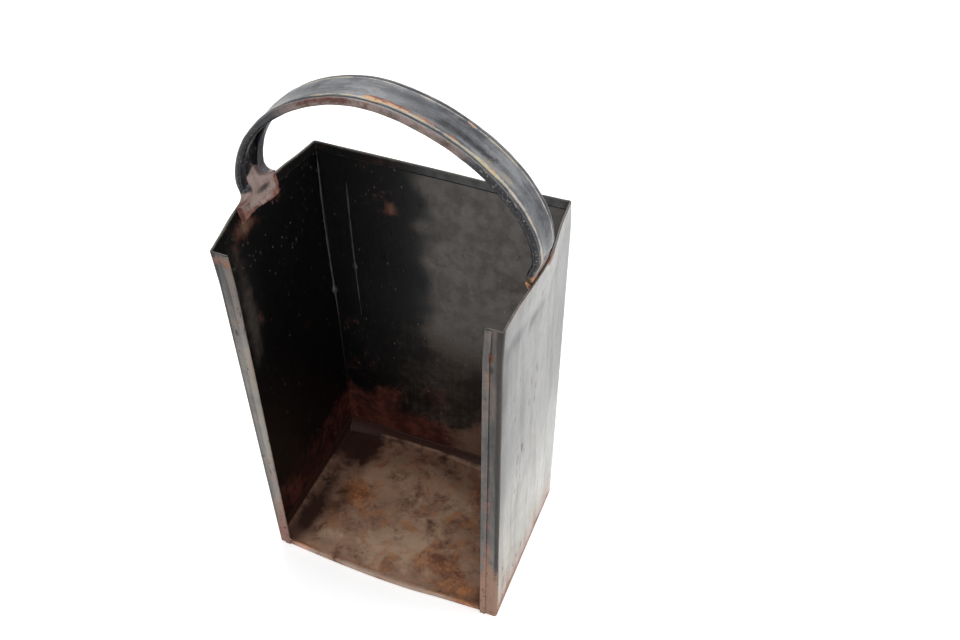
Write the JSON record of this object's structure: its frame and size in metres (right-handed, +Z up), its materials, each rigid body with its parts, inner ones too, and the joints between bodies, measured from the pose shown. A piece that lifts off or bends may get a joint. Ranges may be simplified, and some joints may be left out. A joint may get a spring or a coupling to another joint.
{
  "type": "open-fronted sheet metal bucket",
  "caption": "Tall rectangular sheet metal carrying bucket with an open front and top, a turned-up floor pan and a fixed arched strap handle, dented and rusted.",
  "frame": {"origin": "centre of the whole object's box, on the ground under the walls", "axes": "+Z up, -Y out of the open front, +X to the right as seen from the front"},
  "size_m": [0.222, 0.1442, 0.4339],
  "materials": {
    "body_paint": "worn glossy black paint over steel, with rust at the folds",
    "pan_rust": "rubbed paint and brown rust, matt",
    "strap_paint": "worn satin grey-black paint with rust along the edges"
  },
  "bodies": {
    "root": {"body": "body_paint", "floor_pan": "pan_rust", "handle": "strap_paint"}
  },
  "joints": []
}
